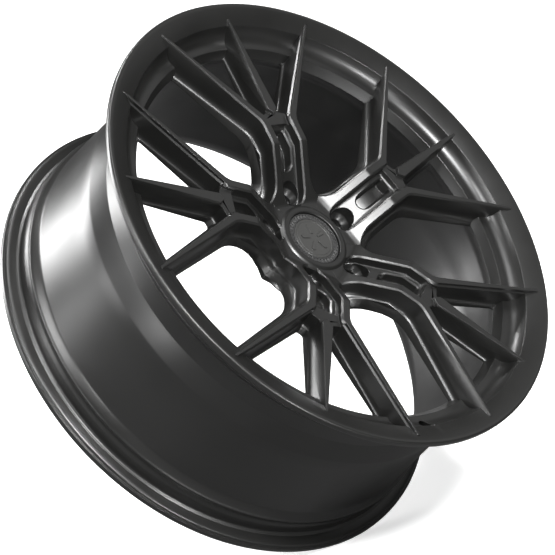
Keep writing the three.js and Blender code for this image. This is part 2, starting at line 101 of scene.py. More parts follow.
def lower_top(x):
    return min(arm_top(x), centre_top(x))


def arm_low(x):
    """Level that the shoulders follow: it stays with the crease while the arms rise to their tips."""
    return arm_top(min(x, CREASE_X))


def below(level_of, drop):
    return lambda x: level_of(x) - drop


def flat(level):
    return lambda x: level


# ---- plan outlines ----
CORNER_SHARE = 0.48                   # a rounded corner takes at most this much of either side


def rounded(corners):
    """Ring of (x, z) through corners (x, z, radius, points); a corner of one point stays sharp."""
    ring = []
    for i, (x, z, radius, points) in enumerate(corners):
        here = Vector((x, z))
        if points == 1:
            ring.append(here)
            continue
        before = Vector(corners[i - 1][:2]) - here
        after = Vector(corners[(i + 1) % len(corners)][:2]) - here
        a, b = before.normalized(), after.normalized()
        half = 0.5 * math.acos(max(-1.0, min(1.0, a.dot(b))))
        reach = min(radius / math.tan(half), CORNER_SHARE * before.length, CORNER_SHARE * after.length)
        radius = reach * math.tan(half)
        centre = here + (a + b).normalized() * radius / math.sin(half)
        start, end = here + a * reach - centre, here + b * reach - centre
        turn = start.angle_signed(end)
        for k in range(points):
            w = -turn * k / (points - 1)
            c, s = math.cos(w), math.sin(w)
            ring.append(centre + Vector((c * start.x - s * start.y, s * start.x + c * start.y)))
    return ring


def plan_arc(x, z, radius, start, sweep, steps):
    angles = [start + sweep * k / steps for k in range(steps + 1)]
    return [Vector((x + radius * math.cos(a), z + radius * math.sin(a))) for a in angles]


def arc_between(centre, first, last, steps):
    a, b = first - centre, last - centre
    start = math.atan2(a.y, a.x)
    sweep = math.atan2(a.x * b.y - a.y * b.x, a.dot(b))
    angles = [start + sweep * k / steps for k in range(steps + 1)]
    return [centre + Vector((math.cos(w), math.sin(w))) * a.length for w in angles]


def fillet_line_circle(point, run, radius, small, side=1):
    """Arc of radius small between a line and the circle round the axis: its centre, end on the line, end on the circle.

    It lies inside the circle, to the left of the line where side is 1 and to its right where side is -1."""
    normal = Vector((-run.y, run.x)) * side
    base = point + normal * small
    b = base.dot(run)
    c = base.length_squared - (radius - small) ** 2
    centre = base + run * (-b + math.sqrt(b * b - c))     # |centre| = radius - small
    return centre, centre - normal * small, centre.normalized() * radius


def meet(p, u, q, v):
    """Where the line through p along u meets the line through q along v."""
    cross = u.x * v.y - u.y * v.x
    t = ((q - p).x * v.y - (q - p).y * v.x) / cross
    return p + u * t


BEND = Vector((0.468, 0.0745))        # middle line of the left arm: bend and tip
TIP = Vector((0.876, 0.387))
SIDE = Vector((-(TIP - BEND).normalized().y, (TIP - BEND).normalized().x))
CENTRE_ROOT = Vector((0.525, 0.0215))  # left edge of the centre spoke's top: root and end
CENTRE_END = Vector((0.934, 0.0045))


def arm_edge(root, tip):
    """Bend corner and direction of the arm's edge at these offsets from its middle line, to its left."""
    p = BEND + SIDE * root
    run = (TIP + SIDE * tip - p).normalized()
    corner = meet(Vector((0, BEND.y + root)), Vector((1, 0)), p, run)
    return corner, run


def centre_edge(root, tip):
    """Start and direction of the centre spoke's left edge at these offsets from its top's edge."""
    p = CENTRE_ROOT + Vector((0, root))
    q = CENTRE_END + Vector((0, tip))
    return p, (q - p).normalized()


# ---- mesh making ----
def mesh_object(name, bm):
    data = bpy.data.meshes.new(name)
    bmesh.ops.recalc_face_normals(bm, faces=bm.faces)
    bm.to_mesh(data)
    bm.free()
    made = bpy.data.objects.new(name, data)
    bpy.context.scene.collection.objects.link(made)
    return made


def ring_of(bm, points):
    return [bm.verts.new(at(*p)) for p in points]


def circle_of(bm, profile, angle):
    """Vertices of a profile of (radius, d) at this angle round the axis."""
    return ring_of(bm, [(r * math.cos(angle), r * math.sin(angle), d) for r, d in profile])


def bridge(bm, one, two, closed=True):
    """Faces between two rings of equal count."""
    for i in range(len(one) if closed else len(one) - 1):
        j = (i + 1) % len(one)
        bm.faces.new((one[i], one[j], two[j], two[i]))


def close_ends(bm, rings, triangulate=False):
    bm.faces.new(rings[0])
    bm.faces.new(list(reversed(rings[-1])))
    if triangulate:
        bmesh.ops.triangulate(bm, faces=[f for f in bm.faces if len(f.verts) > 4])


def loft(name, loops):
    """Closed body through rings of equal count; each ring is a list of (x, z, d)."""
    bm = bmesh.new()
    rings = [ring_of(bm, loop) for loop in loops]
    for low, high in zip(rings, rings[1:]):
        bridge(bm, low, high)
    close_ends(bm, rings, triangulate=True)
    return mesh_object(name, bm)


def lathe(name, profile, segments):
    """Closed profile of (radius, d) turned about the wheel's axis."""
    bm = bmesh.new()
    rings = [circle_of(bm, profile, 2 * math.pi * k / segments) for k in range(segments)]
    for k in range(segments):
        bridge(bm, rings[k], rings[(k + 1) % segments])
    return mesh_object(name, bm)


def disc(name, profile_at, segments, first_d, last_d):
    """Disc turned from the profile of each step, closed on the axis at depths first_d and last_d."""
    bm = bmesh.new()
    first, last = ring_of(bm, [(0, 0, first_d), (0, 0, last_d)])
    rings = [circle_of(bm, profile_at(k), 2 * math.pi * k / segments) for k in range(segments)]
    for k in range(segments):
        one, two = rings[k], rings[(k + 1) % segments]
        bridge(bm, one, two, closed=False)
        bm.faces.new((first, one[0], two[0]))
        bm.faces.new((last, two[-1], one[-1]))
    return mesh_object(name, bm)


def turned_solid(name, profile, segments=120, centre=0.0, angle=0.0):
    """Solid of circles (radius, d) stacked along the axis through (centre, 0), turned about the wheel's axis."""
    circle = [(math.cos(2 * math.pi * k / segments), math.sin(2 * math.pi * k / segments)) for k in range(segments)]
    made = loft(name, [[(centre + r * c, r * s, d) for c, s in circle] for r, d in profile])
    if angle:
        made.data.transform(Matrix.Rotation(-angle, 4, "Y"))
    return made


def boolean(target, tool, operation="DIFFERENCE"):
    modifier = target.modifiers.new("cut", "BOOLEAN")
    modifier.operation = operation
    modifier.object = tool
    modifier.solver = "MANIFOLD"
    graph = bpy.context.evaluated_depsgraph_get()
    result = bpy.data.meshes.new_from_object(target.evaluated_get(graph))
    target.modifiers.clear()
    target.data = result
    bpy.data.objects.remove(tool)


def copy_turned(source, angle, mirror=False):
    """A copy turned about the wheel's axis, counter-clockwise seen from the front, after mirroring it in z."""
    copied = source.copy()
    copied.data = source.data.copy()
    bpy.context.scene.collection.objects.link(copied)
    if mirror:
        copied.data.transform(Matrix.Diagonal((1, 1, -1, 1)))
        copied.data.flip_normals()
    copied.data.transform(Matrix.Rotation(-angle, 4, "Y"))
    return copied


def cut_copies(blank, tools, placings):
    """Cuts a copy of each tool at each placing (angle, mirror), then drops the tools."""
    for angle, mirror in placings:
        for tool in tools:
            boolean(blank, copy_turned(tool, angle, mirror))
    for tool in tools:
        bpy.data.objects.remove(tool)


CREASE_ANGLE = math.radians(32)


def crisp(piece):
    """Smooth shading, with creases sharper than CREASE_ANGLE kept."""
    piece.data.shade_smooth()
    piece.data.set_sharp_from_angle(angle=CREASE_ANGLE)


# ---- rim: flange, seats, well, barrel ----
def arc(r, d, radius, start, end, points=6):
    """Arc round (r, d), from angle start to end in degrees, 0 towards larger radius and 90 outboard."""
    angles = [math.radians(start + (end - start) * k / (points - 1)) for k in range(points)]
    return [(r + radius * math.cos(a), d + radius * math.sin(a)) for a in angles]


def rear(inset):
    """d of a level this far outboard of the rear lip's widest circle."""
    return -2 * CREST + inset


RIM_SEGMENTS = 240
RIM_PROFILE = [
    # front lip and bead seat
    *arc(0.9915, -0.0015, 0.0080, 95, 0, 8),
    (0.9995, -0.0120), (0.9985, -0.0180),
    *arc(0.9800, -0.0200, 0.0100, 5, -70, 4),
    (0.9720, -0.0317), (0.9480, -0.0330),
    *arc(0.9480, -0.0450, 0.0120, 105, 180, 6),
    (0.9356, -0.0560), (0.9345, -0.0810),
    # well
    *arc(0.9320, -0.0880, 0.0040, 60, -10, 4),
    (0.9300, -0.0960), (0.8760, -0.1580),
    *arc(0.8800, -0.1660, 0.0126, 140, 190, 5),
    (0.8674, -0.1800), (0.8674, -0.2450),
    *arc(0.8800, -0.2470, 0.0126, 175, 205, 4),
    # long barrel wall and rear bead seat
    (0.8935, -0.3300), (0.8960, -0.3420), (0.8970, -0.4000), (0.9030, -0.5000), (0.9140, -0.6880),
    (0.9150, -0.6950), (0.9180, -0.7010), (0.9300, -0.7260),
    *arc(0.9290, -0.7360, 0.0075, 60, -30, 5),
    (0.9330, -0.7480), (0.9325, -0.7620), (0.9350, -0.7690), (0.9360, -0.7780), (0.9356, -0.8040),
    # rear lip
    *arc(0.9480, -0.8120, 0.0120, 180, 255, 6),
    (0.9480, -0.8268), (0.9720, -0.8282),
    *arc(0.9800, -0.8400, 0.0100, 70, -5, 4),
    (0.9985, -0.8420), (0.9995, -0.8500),
    *arc(0.9915, rear(-0.0015) + 0.0030, 0.0080, 0, -95, 8),
    (0.9700, rear(-0.0060)), (0.9500, rear(0.0060)), (0.9280, rear(0.0400)),
    # inner wall, back to front
    (0.9130, rear(0.0600)), (0.9040, rear(0.1000)), (0.8980, rear(0.1600)), (0.8910, rear(0.1900)),
    (0.8780, -0.5000), (0.8720, -0.4000), (0.8690, -0.3400), (0.8420, -0.2500),
    (0.8420, -0.1850), (0.8310, -0.1560), (0.8260, -0.1500),
    # window ledge, pocket wall and show face
    (0.8160, -0.1180), (0.8172, -0.1162), (0.8375, -0.0850), (0.8390, -0.0822), (0.8415, -0.0812),
    (0.8540, -0.0800), (0.8680, -0.0765), (0.8810, -0.0690), (0.8920, -0.0580), (0.9010, -0.0440),
    (0.9078, -0.0270), (0.9092, -0.0238), (0.9116, -0.0222),
    (0.9700, 0.0000), (0.9800, 0.0040), (0.9850, 0.0057),
]
HOLE_SEGMENTS = 48
VALVE_ANGLE = math.radians(265)
VALVE_R = 0.884
VALVE_HOLE = [(0.0300, 0.1), (0.0300, -0.0480), (0.0212, -0.0520), (0.0212, -0.25)]

rim = lathe("rim_barrel", RIM_PROFILE, RIM_SEGMENTS)

# ---- tools that mill a spoke group from its blank ----
FILLET = [(0.00, 0.000), (0.18, 0.42), (0.45, 0.76), (0.75, 0.94), (1.00, 1.000)]   # share of offset, share of drop
ARC = 16                              # steps of an arc in a big window's outline
RIM_ARC = 15                          # steps under the rim, from a corner to the middle line
RUN_POINT = 0.30                      # extra point on a big window's straight run, beyond the bend
# Radii at which the windows end under the rim: at the shoulders, at their lower edge, and at the back.
END_SHOULDER, END_EDGE, END_BACK = 0.8400, 0.8380, 0.8165

# Levels of a big window, offsets from the arm's middle line: (root, tip, V's apex, bend radius, drop below the top).
W_TOP = (0.0130, 0.0045, 0.215, 0.085, 0.000)
W_CHAMFER = (0.0200, 0.0085, 0.222, 0.080, 0.0065)
W_WALL = (0.0228, 0.0135, 0.233, 0.080, 0.0480)
W_SHOULDER = (0.0365, 0.0300, 0.262, 0.110, 0.0765)
W_EDGE = (0.0382, 0.0320, 0.266, 0.112, 0.0795)
W_BACK = (0.0515, 0.0450, 0.287, 0.130, 0.1140)
W_CORNERS = (0.030, 0.028)            # corner radii under the rim: above the back, and at it

# Levels of a small window, between an arm and the centre spoke:
# (arm's root, arm's tip, centre's root, centre's tip, root's x, root's radius, drop below the top).
S_TOP = (0.0130, 0.0045, 0.0000, 0.0000, 0.505, 0.006, 0.000)
S_CHAMFER = (0.0200, 0.0085, 0.0055, 0.0030, 0.508, 0.006, 0.0065)
S_WALL = (0.0225, 0.0130, 0.0085, 0.0070, 0.513, 0.008, 0.0500)
S_SHOULDER = (0.0310, 0.0240, 0.0165, 0.0170, 0.519, 0.010, 0.0765)
S_EDGE = (0.0325, 0.0255, 0.0180, 0.0185, 0.521, 0.010, 0.0795)
S_BACK = (0.0415, 0.0350, 0.0260, 0.0280, 0.540, 0.012, 0.1140)
S_CORNERS = (0.024, 0.022)
ROOT_POINTS = 7                       # points of a small window's root corners
ROOT_LEAN = Vector((-0.35, 1.0))
CORNER_STEPS = 6
SMALL_RIM_STEPS = 10
SMALL_RUN_POINT = 0.2


def window_edge(root, tip, apex, bend_radius):
    """Half of a big window's edge: rounded V near the hub, bend, and the corner and direction of its straight run."""
    level = BEND.y + root
    corner, run = arm_edge(root, tip)
    v_radius = (apex * math.sin(HALF) - level) / (1 - math.sin(HALF))
    v_along = (level + v_radius) / math.tan(HALF)
    v_arc = plan_arc(v_along, level + v_radius, v_radius, math.pi + HALF, math.pi / 2 - HALF, ARC)
    turn = math.atan2(run.y, run.x)
    start = Vector((corner.x - bend_radius * math.tan(0.5 * turn), level))
    bend = plan_arc(start.x, level + bend_radius, bend_radius, -math.pi / 2, turn, ARC)
    return v_arc, bend, corner, run


def both_sides(half, depth_of, last=None):
    """Ring of (x, z, d) from half an outline and its mirror image; last is -1 where the half ends on the mirror."""
    c, s = math.cos(-HALF), math.sin(-HALF)
    left = [(c * p.x - s * p.y, s * p.x + c * p.y, depth_of(p.x)) for p in half]
    right = [(x, -z, d) for x, z, d in left]
    return right[1:last][::-1] + left


def window_ring(root, tip, apex, bend_radius, depth_of):
    """Big window's outline, open beyond the rim, with a point on the crease where that lies before the bend."""
    v_arc, bend, corner, run = window_edge(root, tip, apex, bend_radius)
    before = Vector((CREASE_X, BEND.y + root)) if bend[0].x > CREASE_X else bend[0] + Vector((-1e-4, 0))
    half = [*v_arc, before, *bend, corner + run * RUN_POINT, corner + run * (FAR - corner.length)]
    return both_sides(half, depth_of)


def rim_ring(root, tip, apex, bend_radius, depth_of, radius, corner_radius):
    """Big window's outline closed by a circle under the rim, with rounded corners."""
    v_arc, bend, corner, run = window_edge(root, tip, apex, bend_radius)
    centre, first, last = fillet_line_circle(corner, run, radius, corner_radius)
    angle = math.atan2(last.y, last.x)
    half = [*v_arc, *bend, *arc_between(centre, first, last, ARC),
            *plan_arc(0, 0, radius, angle, HALF - angle, RIM_ARC)[1:]]
    return both_sides(half, depth_of, -1)


def small_ring(arm_root, arm_tip, mid_root, mid_tip, root_x, root_radius, depth_of, radius=None, corner_radius=None):
    """Small window's outline, closed by a circle under the rim, or open beyond the rim where no radius is given."""
    arm, arm_run = arm_edge(-arm_root, -arm_tip)
    mid, mid_run = centre_edge(mid_root, mid_tip)
    root_low = meet(Vector((root_x, 0)), Vector((0.0, 1.0)), mid, mid_run)
    root_high = meet(root_low, ROOT_LEAN, arm, arm_run)
    root = [(*root_high, root_radius, ROOT_POINTS), (*root_low, root_radius, ROOT_POINTS)]
    if radius is None:
        ends = (mid + mid_run * SMALL_RUN_POINT, mid + mid_run * (FAR - mid.length),
                arm + arm_run * (FAR - arm.length), arm + arm_run * SMALL_RUN_POINT)
        ring = rounded(root + [(*p, 0, 1) for p in ends])
    else:
        c1, f1, l1 = fillet_line_circle(mid, mid_run, radius, corner_radius, 1)
        c2, f2, l2 = fillet_line_circle(arm, arm_run, radius, corner_radius, -1)
        a1, a2 = math.atan2(l1.y, l1.x), math.atan2(l2.y, l2.x)
        angles = [a1 + (a2 - a1) * k / SMALL_RIM_STEPS for k in range(1, SMALL_RIM_STEPS)]
        ring = rounded(root + [(*f1, 0, 1), (*f2, 0, 1)])[:2 * ROOT_POINTS]
        ring += arc_between(c1, f1, l1, CORNER_STEPS)
        ring += [Vector((math.cos(a), math.sin(a))) * radius for a in angles]
        ring += arc_between(c2, l2, f2, CORNER_STEPS)
    return [(p.x, p.y, depth_of(p.x)) for p in ring]


def mix(a, b, share):
    return a + (b - a) * share


def upper_window(name, ring, top, chamfer, wall, shoulder, top_of):
    """Tool above the shoulders: chamfer, wall and fillet down to the shoulder."""
    rings = [ring(*top[:-1], flat(TOP))]
    rings += [ring(*level[:-1], below(top_of, level[-1])) for level in (top, chamfer)]
    for share, fall in FILLET:
        offsets = [mix(a, b, share) for a, b in zip(wall[:-1], shoulder[:-1])]
        rings.append(ring(*offsets, below(arm_low, mix(wall[-1], shoulder[-1], fall))))
    return loft(name, rings)


def lower_window(name, ring, shoulder, edge, back, corners):
    """Tool through the group: down to the shoulder's edge, then drafted to the back."""
    rings = [ring(*shoulder[:-1], flat(TOP), END_SHOULDER, corners[0])]
    for level, radius, corner in ((shoulder, END_SHOULDER, corners[0]), (edge, END_EDGE, corners[0]),
                                  (back, END_BACK, corners[1])):
        rings.append(ring(*level[:-1], below(arm_low, level[-1]), radius, corner))
    rings.append(ring(*back[:-1], flat(BELOW), END_BACK, corners[1]))
    return loft(name, rings)


# Levels of the channel between the twin arms, from the lug hole to the saddle, and of the recess in its floor:
# (half width, start, end, start's radius, end's radius, drop below the arm tops).
CHANNEL_WIDTH = 0.0615
CHANNEL_DROP = 0.042
CHANNEL = [
    (CHANNEL_WIDTH, 0.1450, 0.4600, 0.0590, 0.018, 0.0),
    (0.0540, 0.1510, 0.4540, 0.0520, 0.016, 0.0065),
    (0.0520, 0.1530, 0.4500, 0.0500, 0.016, 0.034),
    (0.0500, 0.1540, 0.4460, 0.0490, 0.016, 0.040),
    (0.0460, 0.1560, 0.4420, 0.0450, 0.016, CHANNEL_DROP),
]
RECESS = [
    (0.0370, 0.2800, 0.4420, 0.036, 0.016, CHANNEL_DROP - 0.0005),
    (0.0310, 0.2870, 0.4380, 0.030, 0.014, CHANNEL_DROP + 0.006),
    (0.0290, 0.2890, 0.4360, 0.028, 0.013, CHANNEL_DROP + 0.034),
    (0.0240, 0.2940, 0.4310, 0.023, 0.012, CHANNEL_DROP + 0.042),
]
CHANNEL_START_POINTS, CHANNEL_END_POINTS = 10, 8


def channel_ring(half_width, start, end, start_radius, end_radius, depth_of):
    side = [(start, -half_width, start_radius, CHANNEL_START_POINTS), (CREASE_X, -half_width, 0, 1),
            (end, -half_width, end_radius, CHANNEL_END_POINTS)]
    other = [(x, -z, radius, points) for x, z, radius, points in reversed(side)]
    return [(p.x, p.y, depth_of(p.x)) for p in rounded(side + other)]


def channel_tool(name, levels):
    rings = [channel_ring(*levels[0][:-1], flat(TOP))]
    rings += [channel_ring(*level[:-1], below(arm_top, level[-1])) for level in levels]
    return loft(name, rings)


# The lowered strip between the arms: its start, the length of its straight sides, its end and their draft.
CENTRE_START = 0.430
CENTRE_RUN = 0.62
CENTRE_STOP = 1.10
CENTRE_DRAFT = 0.0075


def centre_tool():
    """Lowers everything between the twin arms to the centre spoke's own top."""
    inner, run = arm_edge(-W_TOP[0], -W_TOP[1])
    far = inner + run * CENTRE_RUN

    def ring(depth_of, shrink):
        side = [(CENTRE_START, CHANNEL_WIDTH - shrink), (inner.x + shrink * 0.5, inner.y - shrink),
                (far.x, far.y - shrink), (CENTRE_STOP, far.y - shrink)]
        return [(x, z, depth_of(x)) for x, z in side + [(x, -z) for x, z in reversed(side)]]
    return loft("centre_tool", [ring(flat(TOP), 0.0), ring(arm_top, 0.0), ring(centre_top, CENTRE_DRAFT)])


SADDLE_LEVEL = -0.036
SADDLE_FLOOR = -0.050
SADDLE_DRAFT = 0.004


def saddle_tool():
    """Lower bridge between the arms, with the pointed root of the centre spoke left standing."""
    def ring(depth, shrink):
        side = [(0.440, 0.0500), (0.478, 0.0560), (0.510, 0.0700), (0.540, 0.0800), (0.540, 0.0275 + shrink),
                (0.5225 - shrink, 0.0240 + shrink), (0.4990 - shrink, 0.0)]
        return [(x, z, depth) for x, z in side + [(x, -z) for x, z in reversed(side[:-1])]]
    return loft("saddle_tool", [ring(TOP, 0.0), ring(SADDLE_LEVEL, 0.0), ring(SADDLE_FLOOR, SADDLE_DRAFT)])


# ---- spoke groups ----
LUG_CENTRE = 0.2063
LUG_SEAT = [(0.0480, TOP), (0.0480, -0.192), (0.0465, -0.197), (0.0300, -0.213), (0.0276, -0.216), (0.0276, -0.300)]
# Room for a spoke's end inside the rim's flange and well wall.
REACH = [(0.957, 0.200), (0.957, -0.0280), (0.925, -0.0400), (0.925, -0.0880), (0.862, -0.1560), (0.862, -0.400)]
BORE = [(0.1450, 0.2), (0.1450, -0.4)]
PAD_RELIEF = 0.0015                   # the group's back stays this far inside the hub's mounting pad
BLANK_OUTER = 1.000
BLANK_HALF_WIDTH = 0.75
BLANK_SIDE = [                        # side outline (x, d): top from the hub outwards, then the back
    (0.100, PLATEAU), (0.142, PLATEAU), (0.152, -0.1690), (0.164, -0.1655), (0.178, -0.1581), (0.352, -0.0435),
    (0.361, -0.0386), (0.370, -0.0363), (0.380, -0.0349), (BLANK_OUTER, arm_top(BLANK_OUTER)), (BLANK_OUTER, -0.112),
    (0.850, -0.118), (0.440, -0.147), (0.405, -0.151), (0.370, -0.162), (0.335, -0.181), (0.300, -0.205),
    (0.262, -0.234), (0.230, PAD_D + PAD_RELIEF), (0.100, PAD_D + PAD_RELIEF),
]
WEDGE_LENGTH = 1.2
WEDGE_LEVELS = (0.2, -0.4)


def make_group():
    wide = WEDGE_LENGTH * math.tan(HALF)
    blank = loft("spoke_group", [[(x, z, d) for x, d in BLANK_SIDE] for z in (-BLANK_HALF_WIDTH, BLANK_HALF_WIDTH)])
    wedge = loft("wedge", [[(0.0, 0.0, d), (WEDGE_LENGTH, -wide, d), (WEDGE_LENGTH, wide, d)] for d in WEDGE_LEVELS])
    boolean(blank, wedge, "INTERSECT")
    boolean(blank, turned_solid("reach", REACH), "INTERSECT")
    cut_copies(blank, [upper_window("big_upper", window_ring, W_TOP, W_CHAMFER, W_WALL, W_SHOULDER, arm_top),
                       lower_window("big_lower", rim_ring, W_SHOULDER, W_EDGE, W_BACK, W_CORNERS)],
               [(HALF, False), (-HALF, False)])
    boolean(blank, centre_tool())
    cut_copies(blank, [upper_window("small_upper", small_ring, S_TOP, S_CHAMFER, S_WALL, S_SHOULDER, lower_top),
                       lower_window("small_lower", small_ring, S_SHOULDER, S_EDGE, S_BACK, S_CORNERS)],
               [(0.0, False), (0.0, True)])
    boolean(blank, saddle_tool())
    boolean(blank, channel_tool("channel", CHANNEL))
    boolean(blank, channel_tool("recess", RECESS))
    boolean(blank, turned_solid("lug_tool", LUG_SEAT, HOLE_SEGMENTS, LUG_CENTRE))
    boolean(blank, turned_solid("bore", BORE))
    return blank


group = make_group()
groups = []
for index in range(GROUPS):
    piece = copy_turned(group, group_angle(index))
    piece.name = f"spoke_group_{index + 1}"
    groups.append(piece)
bpy.data.objects.remove(group)

boolean(rim, turned_solid("valve_tool", VALVE_HOLE, HOLE_SEGMENTS, VALVE_R, VALVE_ANGLE))

# ---- hub ring round the cap, with the bore behind it ----
HUB_SEGMENTS = 160
HUB_PROFILE = [
    (0.1160, -0.1755), (0.1160, -0.1690), *arc(0.1205, -0.1690, 0.0045, 180, 90, 5),
    (0.1260, -0.1640), (0.1330, -0.1630), (0.1400, -0.1645), (0.1460, -0.1680), (0.1500, -0.1712), (0.1560, -0.1745),
    (0.1560, -0.2380), (0.2560, -0.2380), (0.2620, -0.2410), (0.2640, -0.2460), (0.2640, PAD_D),
    (0.1265, PAD_D), (0.1227, PAD_D + 0.0035),
    (0.1227, -0.2100), (0.1050, -0.2100), (0.1050, -0.1850), (0.1160, -0.1850),
]
hub = lathe("hub_ring", HUB_PROFILE, HUB_SEGMENTS)
for index in range(GROUPS):
    boolean(hub, turned_solid("lug_tool", LUG_SEAT, HOLE_SEGMENTS, LUG_CENTRE, group_angle(index)))

# ---- centre cap ----
TICKS = 40                            # short ticks in a groove round the face disc
TICK_STEPS = 6                        # steps of one tick's pitch
TICK_PROUD = 2                        # of which the first two stand proud
TICK_BAND = (0.0950, 0.1085)
TICK_LEVEL = -0.0004
DISH_PROFILE = [
    (0.0890, -0.0046), (0.0895, -0.0006), (0.0905, 0.0), (0.0935, 0.0), (0.0948, -0.0006), (0.0951, -0.0042),
    (0.1084, -0.0042), (0.1087, -0.0006), (0.1095, -0.0002), (CAP_R - 0.0012, -0.0008), (CAP_R, -0.0024),
    (CAP_R, -0.0086), (0.0900, -0.0086)]


def dish_at(step):
    """Profile of the cap's dish at this step round it, raised in the groove where a tick stands."""
    proud = step % TICK_STEPS < TICK_PROUD
    return [(r, CAP_D + (TICK_LEVEL if proud and TICK_BAND[0] < r < TICK_BAND[1] else d)) for r, d in DISH_PROFILE]


LEG_COUNT = 6
LEG_STEPS = 8
LEG_INNER, LEG_OUTER = 0.0928, 0.1035
LEG_ROOT = 0.0080                     # behind the cap's front
LEG_GAP = 0.0135 / 0.1039             # half the angle between two legs
LEG_BACK = -CREST - cap_high.y / R


def leg_section():
    """Section (radius, d) of a snap leg, with its hook outside and the spring's groove inside."""
    front, groove = CAP_D - LEG_ROOT, LEG_INNER + 0.0035
    return [(LEG_INNER, front), (LEG_OUTER, front), (LEG_OUTER, LEG_BACK + 0.0055), (LEG_OUTER, LEG_BACK + 0.0050),
            (LEG_OUTER - 0.004, LEG_BACK), (LEG_INNER, LEG_BACK), (LEG_INNER, LEG_BACK + 0.0115),
            (groove, LEG_BACK + 0.0125), (groove, LEG_BACK + 0.0205), (LEG_INNER, LEG_BACK + 0.0215)]


def cap_legs():
    bm = bmesh.new()
    for k in range(LEG_COUNT):
        middle = (k + 0.5) * 2 * math.pi / LEG_COUNT
        start = middle - math.pi / LEG_COUNT + LEG_GAP
        end = middle + math.pi / LEG_COUNT - LEG_GAP
        rings = [circle_of(bm, leg_section(), start + (end - start) * i / LEG_STEPS) for i in range(LEG_STEPS + 1)]
        for one, two in zip(rings, rings[1:]):
            bridge(bm, one, two)
        close_ends(bm, rings)
    return mesh_object("cap_legs", bm)


FACE_SEGMENTS = 160
FACE_SINK = 0.0004                    # the face disc's rim lies this far behind the cap's front
FACE_PROFILE = [
    (0.0868, -0.0044), (0.0882, -0.0030), (0.0882, -0.0012), (0.0870, 0.0), (0.0800, 0.0002), (0.0788, -0.0010),
    (0.0765, -0.0010), (0.0755, 0.0002), (0.0300, 0.0006)]

# One arm of the plain five-armed relief.
EMBLEM_IN, EMBLEM_OUT = 0.020, 0.056
EMBLEM_WIDTH = 0.0095
EMBLEM_POINT = 0.8                    # length of the point, as a share of the width
EMBLEM_HEIGHT = 0.0040
EMBLEM_ROOT = 0.003                   # reaches this far into the face disc
EMBLEM_TAPER = (0.96, 0.82)           # top's length and width, as shares of the bottom's
EMBLEM_INSET = 0.0008


def cap_emblem():
    bm = bmesh.new()
    point = EMBLEM_OUT + EMBLEM_WIDTH * EMBLEM_POINT
    outline = [(EMBLEM_IN, -EMBLEM_WIDTH * 0.5), (EMBLEM_OUT, -EMBLEM_WIDTH), (point, 0),
               (EMBLEM_OUT, EMBLEM_WIDTH), (EMBLEM_IN, EMBLEM_WIDTH * 0.5)]
    top_outline = [(EMBLEM_IN + (x - EMBLEM_IN) * EMBLEM_TAPER[0] + EMBLEM_INSET, z * EMBLEM_TAPER[1])
                   for x, z in outline]
    for k in range(GROUPS):
        c, s = math.cos(math.pi / 2 + k * PITCH), math.sin(math.pi / 2 + k * PITCH)
        bottom, top = [ring_of(bm, [(c * x - s * z, s * x + c * z, d) for x, z in points])
                       for points, d in ((outline, CAP_D - EMBLEM_ROOT), (top_outline, CAP_D + EMBLEM_HEIGHT))]
        bridge(bm, bottom, top)
        close_ends(bm, (top, bottom))
    return mesh_object("cap_emblem", bm)


SPRING_STEPS, SPRING_SIDES = 96, 14
SPRING_OPENING = math.radians(7)      # half of what is missing from the ring


def spring_ring():
    bm = bmesh.new()
    level = -CREST - 0.5 * (ring_low.y + ring_high.y) / R
    wire = 0.5 * (ring_high.y - ring_low.y) / R
    bend = ring_high.z / R - wire
    section = [(bend + wire * math.cos(w), level + wire * math.sin(w))
               for w in (2 * math.pi * i / SPRING_SIDES for i in range(SPRING_SIDES))]
    rings = [circle_of(bm, section, SPRING_OPENING + (2 * math.pi - 2 * SPRING_OPENING) * k / SPRING_STEPS)
             for k in range(SPRING_STEPS + 1)]
    for one, two in zip(rings, rings[1:]):
        bridge(bm, one, two)
    close_ends(bm, rings)
    return mesh_object("spring_ring", bm)


cap_body = disc("cap_body", dish_at, TICKS * TICK_STEPS, CAP_D - 0.0046, CAP_D - 0.0086)
boolean(cap_body, cap_legs(), "UNION")
cap_face = disc("cap_face", lambda step: [(r, CAP_D + d - FACE_SINK) for r, d in FACE_PROFILE], FACE_SEGMENTS,
                CAP_D - 0.0048, CAP_D + 0.0002)
emblem = cap_emblem()
spring = spring_ring()

for piece in (rim, hub, cap_body, cap_face, emblem, spring, *groups):
    crisp(piece)

# ---- materials ----
ROUGH_SPREAD = 0.06


